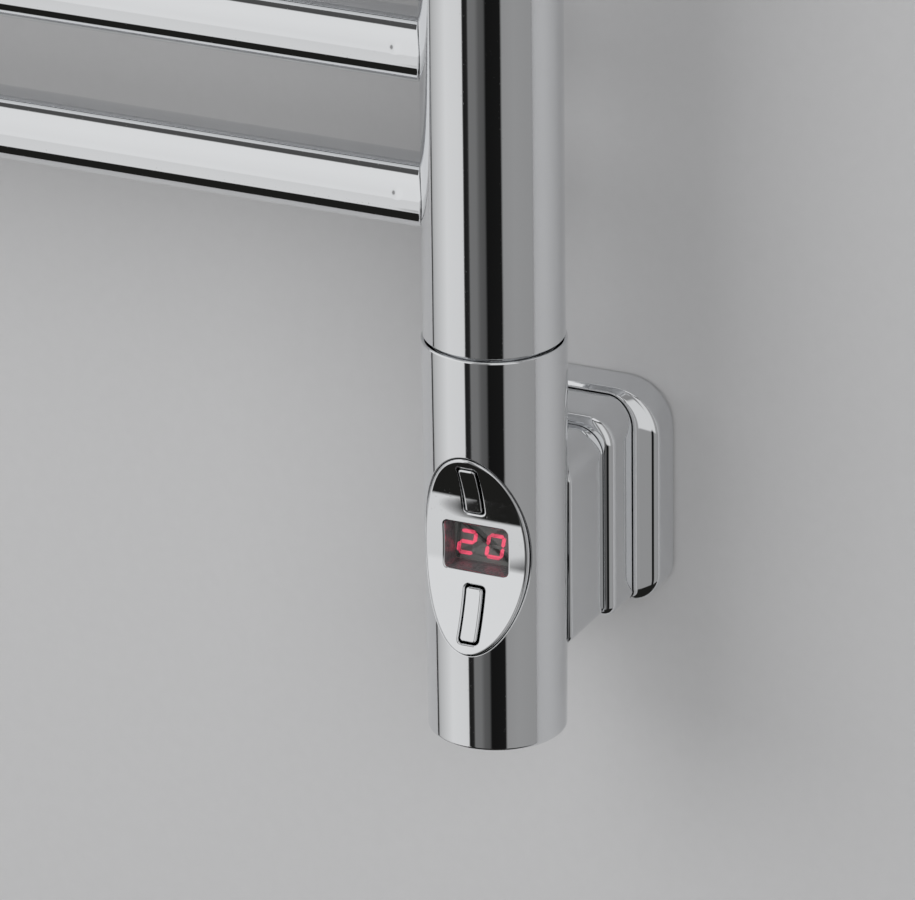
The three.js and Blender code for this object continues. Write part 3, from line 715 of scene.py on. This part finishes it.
def cover(corner):
    """Outer step: a round edge, then a hollow flare that rises to the sleeve."""
    half_width, half_height, front, back, centre = bracket_frame("cover", corner)
    inner_w, inner_h, _, _, inner_centre = bracket_frame("sleeve", corner)
    up = CORNERS[corner][1]
    steps = 16
    outer = rounded_rectangle(half_width, half_height, 13.4 * MM, steps, 8 * MM)
    room = 0.25 * MM
    inner = rounded_rectangle(inner_w + room, inner_h + room, 8.65 * MM, steps, 3.75 * MM)
    inner[0][:, 1] += (inner_centre[2] - centre[2]) * -up
    shell = 1.1 * MM
    crest = front - 0.9 * MM
    root = front + 4 * MM
    rings = swept_along_y(outer, [
        (-shell, root, 0), (-shell, back, 0.2 * MM), (0, back, 0.4 * MM), (0, front + 3.2 * MM, 0),
    ], steps=8)
    way = outer[1]
    across = inner[0] - outer[0]
    width = np.linalg.norm(across, axis=1)
    across /= width[:, None]
    line = flare_line()
    scale = width / line[-1][0]

    def face_ring(reach, depth, in_plane, forward):
        flat = outer[0] + across * reach[:, None]
        points = np.stack([flat[:, 0], depth, flat[:, 1]], 1)
        return points, np.stack([in_plane[:, 0], np.full(len(way), forward), in_plane[:, 1]], 1)

    for reach, depth, tilt in line:
        sideways, forward = way * math.sin(tilt), -math.cos(tilt)
        rings.append(face_ring(reach * scale, crest + depth * scale, sideways, forward))
    rings.append(face_ring(width, crest + line[-1][1] * scale + 0.1 * MM, -inner[1], 0))
    rings.append(face_ring(width, np.full(len(way), root), -inner[1], 0))
    surface = Surface()
    surface.rings(rings, closed=True)
    origin = (centre[0], 0, centre[2])
    piece = surface.object(f"bracket_cover_{corner}", CHROME, origin, flip_z=up > 0)
    finish_piece(piece, "rack", "chrome_casting", f"cover_{corner}")


# -------- control panel

WINDOW = (9.25 * MM, 6.75 * MM, 1.2 * MM)
SLOT = (2.95 * MM, 7.55 * MM, 1.2 * MM)
BUTTON = (2.45 * MM, 7.05 * MM, 1.0 * MM)
BUTTON_OFFSET = 18 * MM
CROWN_RADIUS = 1500 * MM  # very slight sideways crown of the dished panel
FACE_THICKNESS = 2.2 * MM
COLLAR_WALL = 1.2 * MM
COLLAR_DEPTH = 6.7 * MM  # from the dish's deepest line to the collar's end


def dish_depth(x, z):
    """Depth of the panel's face behind the upright's axis plane, negative towards the front."""
    return SCOOP_AXIS + np.sqrt(SCOOP_RADIUS ** 2 - z ** 2) + x ** 2 / (2 * CROWN_RADIUS)


def dish_normal(x, z):
    along_z = -z / np.sqrt(SCOOP_RADIUS ** 2 - z ** 2)
    normals = np.stack([x / CROWN_RADIUS, -np.ones_like(x), along_z], 1)
    return normals / np.linalg.norm(normals, axis=1, keepdims=True)


def inside_rounded(points, shape, centre=(0, 0), margin=0.0):
    half_width, half_height, corner = shape
    x = np.abs(points[:, 0] - centre[0]) - (half_width - corner)
    z = np.abs(points[:, 1] - centre[1]) - (half_height - corner)
    reach = np.hypot(np.maximum(x, 0), np.maximum(z, 0)) + np.minimum(np.maximum(x, z), 0)
    return reach < corner + margin


def even_loop(outline, grown, spacing, centre=(0, 0)):
    """Points at even spacing along an outline grown by some margin, and their directions."""
    bases, ways = outline
    points = bases + ways * grown + np.array(centre)
    out_points, out_ways = [], []
    for i in range(len(points)):
        a, b = points[i], points[(i + 1) % len(points)]
        parts = max(1, int(math.ceil(np.linalg.norm(b - a) / spacing)))
        for k in range(parts):
            share = k / parts
            out_points.append(a + (b - a) * share)
            way = ways[i] + (ways[(i + 1) % len(ways)] - ways[i]) * share
            out_ways.append(way / np.linalg.norm(way))
    return np.array(out_points), np.array(out_ways)


def filled(loops, keep, spacing, limits):
    """Triangles that fill the area inside loops where keep(points, margin) is true."""
    points = [loop for loop in loops]
    edges, start = [], 0
    for loop in loops:
        count = len(loop)
        edges += [(start + i, start + (i + 1) % count) for i in range(count)]
        start += count
    half_width, half_height = limits
    xs = np.arange(-half_width, half_width, spacing)
    zs = np.arange(-half_height, half_height, spacing)
    grid = np.array([(x, z) for x in xs for z in zs])
    points.append(grid[keep(grid, spacing * 0.55)])
    every = np.concatenate(points)
    found = delaunay_2d_cdt([Vector(p) for p in every], edges, [], 0, 1e-9)
    made = np.array([tuple(v) for v in found[0]])
    faces = np.array(found[2])
    centres = made[faces].mean(1)
    return made, faces[keep(centres, 0)]


def on_plate(rim, window_rim, slot_rim):
    """A test for points inside the plate's oval and outside its holes, clear of their rims."""

    def keep(points, margin):
        scaled = (points[:, 0] / (PANEL_HALF_WIDTH - rim - margin)) ** 2
        scaled += (points[:, 1] / (PANEL_HALF_HEIGHT - rim - margin)) ** 2
        solid = (scaled < 1) & ~inside_rounded(points, WINDOW, margin=window_rim + margin)
        for side in (1, -1):
            solid &= ~inside_rounded(points, SLOT, (0, side * BUTTON_OFFSET), slot_rim + margin)
        return solid

    return keep


def faceplate():
    """Dished oval plate with rolled edges, a deep window and two button slots."""
    surface = Surface()
    angles = np.linspace(0, 2 * math.pi, 220, endpoint=False)
    oval_points = np.stack([PANEL_HALF_WIDTH * np.cos(angles), PANEL_HALF_HEIGHT * np.sin(angles)], 1)
    oval_ways = np.stack([np.cos(angles) / PANEL_HALF_WIDTH, np.sin(angles) / PANEL_HALF_HEIGHT], 1)
    oval_ways /= np.linalg.norm(oval_ways, axis=1, keepdims=True)
    roll, hole_roll = 0.95 * MM, 0.6 * MM
    spacing = 0.6 * MM
    window = even_loop(rounded_rectangle(*WINDOW, 8), hole_roll, spacing)
    slots = [
        even_loop(rounded_rectangle(*SLOT, 8), hole_roll, spacing, (0, s * BUTTON_OFFSET)) for s in (1, -1)]
    inner_oval = oval_points - oval_ways * roll

    def rolled(loop_points, ways, radius, deep):
        """Rolls a loop over its edge along ways and runs its wall back to a depth."""
        loop = find(loop_points)
        normals = dish_normal(loop_points[:, 0], loop_points[:, 1])
        face = dish_depth(loop_points[:, 0], loop_points[:, 1])
        for k in range(1, 7):
            angle = math.pi / 2 * k / 6
            flat = loop_points + ways * radius * math.sin(angle)
            depth = face + radius * (1 - math.cos(angle))
            points = np.stack([flat[:, 0], depth, flat[:, 1]], 1)
            outward = np.stack([ways[:, 0], np.zeros(len(ways)), ways[:, 1]], 1)
            lean = normals * math.cos(angle) + outward * math.sin(angle)
            ahead = surface.add(points, lean)
            surface.bridge(loop, ahead)
            loop = ahead
        points = points.copy()
        points[:, 1] = deep(points[:, 0], points[:, 2])
        back = surface.add(points, outward)
        surface.bridge(loop, back)
        return back, points

    loops = [inner_oval, window[0], slots[0][0], slots[1][0]]
    limits = (PANEL_HALF_WIDTH, PANEL_HALF_HEIGHT)
    made, triangles = filled(loops, on_plate(roll, hole_roll, hole_roll), 0.9 * MM, limits)
    x, z = made[:, 0], made[:, 1]
    front = surface.add(np.stack([x, dish_depth(x, z), z], 1), dish_normal(x, z))
    surface.faces += [tuple(front[t]) for t in triangles]

    def find(loop_points):
        distances = ((made[None, :, :] - loop_points[:, None, :]) ** 2).sum(2)
        return front[distances.argmin(1)]

    def behind(x_values, z_values):
        return dish_depth(x_values, z_values) + FACE_THICKNESS

    def window_floor(x_values, _):
        return np.full_like(x_values, PANEL_BOTTOM + COLLAR_DEPTH)

    rims = [rolled(inner_oval, oval_ways, roll, behind)]
    rims.append(rolled(window[0], -window[1], hole_roll, window_floor))
    for points, ways in slots:
        rims.append(rolled(points, -ways, hole_roll, behind))

    collar_points = window[0] + window[1] * (COLLAR_WALL - hole_roll)
    collar_ways = np.stack([window[1][:, 0], np.zeros(len(window[1])), window[1][:, 1]], 1)
    end = np.stack([collar_points[:, 0], rims[1][1][:, 1], collar_points[:, 1]], 1)
    end_loop = surface.add(end, collar_ways)
    surface.bridge(rims[1][0], end_loop)
    root = end.copy()
    root[:, 1] = behind(root[:, 0], root[:, 2])
    root_loop = surface.add(root, collar_ways)
    surface.bridge(end_loop, root_loop)

    back_loops = [rims[0][1][:, [0, 2]], collar_points, rims[2][1][:, [0, 2]], rims[3][1][:, [0, 2]]]
    made_back, triangles = filled(back_loops, on_plate(0, COLLAR_WALL, 0), 2 * MM, limits)
    x, z = made_back[:, 0], made_back[:, 1]
    rear = surface.add(np.stack([x, behind(x, z), z], 1), -dish_normal(x, z))
    surface.faces += [tuple(rear[t][::-1]) for t in triangles]
    piece = surface.object("control_faceplate", CHROME_PANEL, (POST[0], POST[1], PANEL_Z))
    weld(piece)
    # darkens the window's walls with painted shade
    painted_shade_recess(piece)
    finish_piece(piece, "rack", "chrome_plated_plastic", "faceplate")


def painted_shade_recess(piece):
    """Gives the window's walls, behind their rolled edge, a dark duller material: painted shade in the
    recess, which also keeps the digits' reflections off them.
    """
    piece.data.materials.append(RECESS_PAINTED_SHADE)
    wall_x, wall_z = WINDOW[0] + 0.1 * MM, WINDOW[1] + 0.1 * MM
    start = POST[1] + PANEL_BOTTOM + 0.6 * MM
    for face in piece.data.polygons:
        x, y, z = face.center - Vector((POST[0], 0, PANEL_Z))
        if abs(x) < wall_x and abs(z) < wall_z and y > start:
            face.material_index = 1


def weld(piece, distance=1e-6):
    """Merges the doubled points where two patches of a closed mesh meet."""
    modifier = piece.modifiers.new("weld", "WELD")
    modifier.merge_threshold = distance


def push_button(name, side):
    """Bar that follows the dish, a little proud of it, with a rounded edge all round."""
    surface = Surface()
    proud = 0.5 * MM
    roll = 0.75 * MM
    outline = rounded_rectangle(*BUTTON, 8)
    centre = (0, side * BUTTON_OFFSET)
    outer, ways = even_loop(outline, 0, 0.5 * MM, centre)
    inner = outer - ways * roll
    rings = []
    for share in (0.02, 0.25, 0.5, 0.75, 0.92, 1.0):
        flat = np.array(centre) + (inner - np.array(centre)) * share
        depth = dish_depth(flat[:, 0], flat[:, 1]) - proud
        rings.append((np.stack([flat[:, 0], depth, flat[:, 1]], 1), dish_normal(flat[:, 0], flat[:, 1])))
    outward = np.stack([ways[:, 0], np.zeros(len(ways)), ways[:, 1]], 1)
    face, normals = rings[-1]
    for k in range(1, 9):
        angle = math.pi / 2 * k / 8
        points = face + outward * roll * math.sin(angle)
        points[:, 1] += roll * (1 - math.cos(angle))
        rings.append((points, normals * math.cos(angle) + outward * math.sin(angle)))
    flange_reach, flange_thickness = 1.2 * MM, 1.1 * MM
    back = rings[-1][0].copy()
    back[:, 1] = PANEL_BOTTOM + FACE_THICKNESS + 0.4 * MM
    wide = back + outward * flange_reach
    end = wide + (0, flange_thickness, 0)
    rings += [(loop, outward) for loop in (back, wide, end)]
    surface.rings(rings)
    piece = surface.object(f"{name}_cap", CHROME_PANEL, (POST[0], POST[1], PANEL_Z))
    finish_piece(piece, name, "chrome_plated_plastic", name)


SEGMENTS = {
    "top": (0, 1, 0),
    "middle": (0, 0, 0),
    "bottom": (0, -1, 0),
    "upper_left": (-1, 0.5, 1),
    "upper_right": (1, 0.5, 1),
    "lower_left": (-1, -0.5, 1),
    "lower_right": (1, -0.5, 1),
}
SHOWN = (
    ("top", "upper_right", "middle", "lower_left", "bottom"),
    ("top", "upper_left", "upper_right", "lower_left", "lower_right", "bottom"),
)


def segment_rings(x, z, upright_bar, depth):
    """One bar with pointed ends, slightly raised, leaning like the digit it belongs to."""
    reach_x, reach_z, bar, lean = 2.2 * MM, 3.2 * MM, 1.0 * MM, 0.17
    length = reach_z if upright_bar else 2 * reach_x
    half = length / 2 - 0.12 * MM
    side = bar / 2
    outline = np.array([(-half, 0), (-half + side, -side), (half - side, -side),
                        (half, 0), (half - side, side), (-half + side, side)])
    if upright_bar:
        outline = outline[:, ::-1] * (-1, 1)
    rings = []
    for grown, back, normal in ((1.0, 0.25, 0), (1.0, 0.02, 0), (0.9, 0.0, 1)):
        flat = outline * grown + (x * reach_x, z * reach_z)
        flat[:, 0] += flat[:, 1] * lean
        points = np.stack([flat[:, 0], np.full(6, depth + back * MM), flat[:, 1]], 1)
        facing = np.tile([0.0, -1.0, 0.0], (6, 1))
        outward = np.stack([outline[:, 0], np.zeros(6), outline[:, 1]], 1)
        rings.append((points, facing if normal else outward))
    return rings


def display_segments(kind, material, slot_name, *nodes):
    """The lit bars, or the unlit ones, of both digits."""
    face = size_of("display_digits")[0][1] - POST[1]
    spacing = 8.28 * MM
    middle_x, middle_z = -1.65 * MM, -1.8 * MM
    surface = Surface()
    for index, shown in enumerate(SHOWN):
        offset = ((index - 0.5) * spacing + middle_x, 0, middle_z)
        for name, (x, z, upright_bar) in SEGMENTS.items():
            if (name in shown) == (kind == "lit"):
                surface.rings([(p + offset, n) for p, n in segment_rings(x, z, upright_bar, face)])
    piece = surface.object(f"display_{kind}_segments", material, (POST[0], POST[1], PANEL_Z))
    finish_piece(piece, "rack", slot_name, *nodes)


def display_block(name, material, slot_name, node_name, front, grown, corner, edges, steps):
    """A rounded block in a node's place, with its own front depth; edges are (back, front)."""
    low, high = size_of(node_name)
    half_width, half_height = (high[0] - low[0]) / 2 + grown, (high[2] - low[2]) / 2 + grown
    outline = rounded_rectangle(half_width, half_height, corner, steps)
    inset = -2 * MM
    surface = Surface()
    surface.rings(swept_along_y(outline, [
        (inset, high[1], 0), (0, high[1], edges[0]), (0, front, edges[1]), (inset, front, 0),
    ], steps=4))
    piece = surface.object(name, material, (POST[0], 0, PANEL_Z))
    finish_piece(piece, "rack", slot_name, node_name)


def display():
    display_segments("lit", LIT, "led_segments", "display_digits")
    display_segments("unlit", UNLIT, "black_plastic")
    behind_digits = size_of("display_digits")[0][1] + 0.25 * MM
    display_block(
        "display_face", DISPLAY_FACE, "black_plastic", "display_module",
        behind_digits, 0, 0.6 * MM, (0.2 * MM, 0.25 * MM), 5)
    display_block(
        "display_window", LENS, "smoked_lens", "display_lens",
        size_of("display_lens")[0][1], 0.2 * MM, 1.1 * MM, (0.1 * MM, 0.12 * MM), 8)


# -------- making the rack

for side in (1, -1):
    upright(side)
for name in RAILS:
    rail(name)
housing()
for corner in CORNERS:
    if corner != "lower_right":
        plain_cap(corner)
    saddle(corner)
    sleeve(corner)
    cover(corner)
faceplate()
push_button("button_up", 1)
push_button("button_down", -1)
display()

FINISHES = {
    "base": ZINC,
    "clamp_screw": STEEL,
    "grub_screw": STEEL,
    "wall_screw": STEEL,
    "heating_element": ELEMENT,
    "element_bush": BRASS,
    "element_seal": RUBBER,
    "control_board": BOARD,
    "relay": BLACK_PLASTIC,
    "terminal_block": BLACK_PLASTIC,
    "switch": BLACK_PLASTIC,
}
for name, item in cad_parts.items():
    for start, material in FINISHES.items():
        if name.startswith(start):
            item.data.materials.clear()
            item.data.materials.append(material)

# -------- stage

WALL_CLEARANCE = 0.3 * MM
FLOOR_Z = -0.95


def plane(name, corners, material):
    mesh = bpy.data.meshes.new(name)
    mesh.from_pydata(corners, [], [(0, 1, 2, 3)])
    mesh.materials.append(material)
    made = bpy.data.objects.new(name, mesh)
    bpy.context.scene.collection.objects.link(made)
    return made


def backdrop_material(name, colour, one_sided):
    material, tree, shader = new_material(name)
    grain = noise(tree, object_space(tree), 260, 3)
    light = tuple(min(1, c * 1.02) for c in colour)
    dark = tuple(c * 0.98 for c in colour)
    tree.links.new(tinted(tree, grain, dark, light), shader.inputs["Base Color"])
    shader.inputs["Roughness"].default_value = 0.9
    shader.inputs["Specular IOR Level"].default_value = 0.1
    if one_sided:
        output = tree.nodes["Material Output"]
        clear = node(tree, "ShaderNodeBsdfTransparent")
        choose = node(tree, "ShaderNodeMixShader")
        facing = node(tree, "ShaderNodeNewGeometry")
        tree.links.new(facing.outputs["Backfacing"], choose.inputs[0])
        tree.links.new(shader.outputs[0], choose.inputs[1])
        tree.links.new(clear.outputs[0], choose.inputs[2])
        tree.links.new(choose.outputs[0], output.inputs["Surface"])
    return material


wall = plane(
    "wall",
    [(-2.2, WALL_CLEARANCE, FLOOR_Z), (2.2, WALL_CLEARANCE, FLOOR_Z),
     (2.2, WALL_CLEARANCE, 1.4), (-2.2, WALL_CLEARANCE, 1.4)],
    backdrop_material("painted_wall", (0.62, 0.62, 0.625), True),
)
floor = plane(
    "floor",
    [(-3, -4, FLOOR_Z), (3, -4, FLOOR_Z), (3, 3, FLOOR_Z), (-3, 3, FLOOR_Z)],
    backdrop_material("pale_floor", (0.66, 0.66, 0.65), False),
)
floor.visible_glossy = False


def area_light(name, location, target, width, height, power, glossy=False):
    data = bpy.data.lights.new(name, "AREA")
    data.shape = "RECTANGLE"
    data.size, data.size_y = width, height
    data.energy = power
    made = bpy.data.objects.new(name, data)
    made.location = location
    made.rotation_euler = (Vector(target) - Vector(location)).to_track_quat("-Z", "Y").to_euler()
    made.visible_glossy = glossy
    bpy.context.scene.collection.objects.link(made)


area_light("key_softbox", (-1.1, -1.6, 1.0), (0, 0, 0.0), 1.9, 1.9, 26)
area_light("fill_softbox", (1.4, -1.8, 0.5), (0, 0, 0.0), 1.4, 1.4, 11)


def studio_world():
    """Even grey room; mirrors see its windows, dark corners and floor as bands by direction."""
    world = bpy.data.worlds.new("studio")
    bpy.context.scene.world = world
    world.use_nodes = True
    tree = world.node_tree
    background = tree.nodes["Background"]
    source = node(tree, "ShaderNodeTexCoord")
    parts = node(tree, "ShaderNodeSeparateXYZ")
    tree.links.new(source.outputs["Generated"], parts.inputs[0])

    def maths(operation, a, b=None):
        made = node(tree, "ShaderNodeMath", operation=operation)
        for socket, value in ((0, a), (1, b)):
            if value is None:
                continue
            if isinstance(value, (int, float)):
                made.inputs[socket].default_value = value
            else:
                tree.links.new(value, made.inputs[socket])
        return made.outputs[0]

    back = maths("MULTIPLY", parts.outputs["Y"], -1)
    azimuth = maths("MULTIPLY", maths("ARCTAN2", parts.outputs["X"], back), 180 / math.pi)
    elevation = maths("MULTIPLY", maths("ARCSINE", parts.outputs["Z"]), 180 / math.pi)

    def bands(value, low, high, stops):
        """Grey by value in degrees, from stops of (degrees, grey)."""
        ramp = node(tree, "ShaderNodeValToRGB")
        elements = ramp.color_ramp.elements
        for index, (degrees, grey) in enumerate(stops):
            position = (degrees - low) / (high - low)
            element = elements[index] if index < 2 else elements.new(position)
            element.position = position
            element.color = (grey, grey, grey, 1)
        tree.links.new(spread(tree, value, low, high), ramp.inputs[0])
        return ramp.outputs[0]

    def blend(share, a, b):
        made = node(tree, "ShaderNodeMix", data_type="RGBA")
        tree.links.new(share, made.inputs[0])
        tree.links.new(a, made.inputs[6])
        tree.links.new(b, made.inputs[7])
        return made.outputs[2]

    # Below the window sills: a bright window to the left, dark furniture ahead, a pale wall right.
    low_ring = bands(azimuth, -180, 180, [
        (-180, 0.27), (-120, 0.30), (-96, 0.33), (-94.5, 0.02), (-89.5, 0.02), (-88, 0.44), (-82, 0.52),
        (-55, 0.74), (-31, 0.72), (-23.4, 0.70), (-22.4, 0.012), (-14.5, 0.02), (-12.5, 0.19),
        (-2, 0.18), (4, 0.11), (12, 0.09), (15, 0.008), (38, 0.010), (41, 0.31), (60, 0.33),
        (97, 0.31), (150, 0.20), (180, 0.27),
    ])
    high_ring = bands(azimuth, -180, 180, [
        (-180, 0.35), (-110, 0.45), (-88, 0.80), (-30, 0.82), (-12, 0.76), (-8, 0.30), (15, 0.25),
        (20, 0.70), (60, 0.72), (64, 0.35), (120, 0.35), (180, 0.35),
    ])
    ground = node(tree, "ShaderNodeRGB")
    ground.outputs[0].default_value = (0.014, 0.014, 0.013, 1)
    ceiling = bands(elevation, -90, 90, [(-90, 0.07), (56, 0.07), (65.8, 0.09), (66.3, 0.8), (90, 0.8)])
    seen = blend(spread(tree, elevation, -17.5, -14.5), low_ring, high_ring)
    seen = blend(spread(tree, elevation, 55.5, 57.5), seen, ceiling)
    skirting = spread(tree, azimuth, -38.4, -31.1, -50.8, -40.4)
    over_ground = spread(tree, maths("SUBTRACT", elevation, skirting), -0.7, 0.7)
    seen = blend(over_ground, ground.outputs[0], seen)
    path = node(tree, "ShaderNodeLightPath")
    plain = node(tree, "ShaderNodeRGB")
    plain.outputs[0].default_value = (0.34, 0.34, 0.345, 1)
    tree.links.new(blend(path.outputs["Is Glossy Ray"], plain.outputs[0], seen), background.inputs[0])


studio_world()

# -------- camera

AZIMUTH, ELEVATION, ROLL = math.radians(25.33), math.radians(23.35), math.radians(-0.65)
DISTANCE = 2.388
LENS_LENGTH = 354.1
SEAM_RIGHT, SEAM_ABOVE = 9.73 * MM, 31.1 * MM  # the seam's place from the middle of the view


def make_camera():
    data = bpy.data.cameras.new("camera")
    data.lens = LENS_LENGTH
    data.sensor_width = 36
    data.clip_start, data.clip_end = 0.1, 20
    made = bpy.data.objects.new("camera", data)
    a, e = AZIMUTH, ELEVATION
    back = Vector((math.sin(a) * math.cos(e), -math.cos(a) * math.cos(e), math.sin(e)))
    right = Vector((math.cos(a), math.sin(a), 0))
    up = back.cross(right)
    c, s = math.cos(ROLL), math.sin(ROLL)
    right, up = right * c + up * s, up * c - right * s
    seam = Vector((POST[0], POST[1], SEAM_DOWN))
    place = seam - right * SEAM_RIGHT - up * SEAM_ABOVE + back * DISTANCE
    turn = Matrix((right, up, back)).transposed()
    made.matrix_world = Matrix.Translation(place) @ turn.to_4x4()
    bpy.context.scene.collection.objects.link(made)
    bpy.context.scene.camera = made


make_camera()
bpy.context.scene.view_settings.view_transform = "Standard"
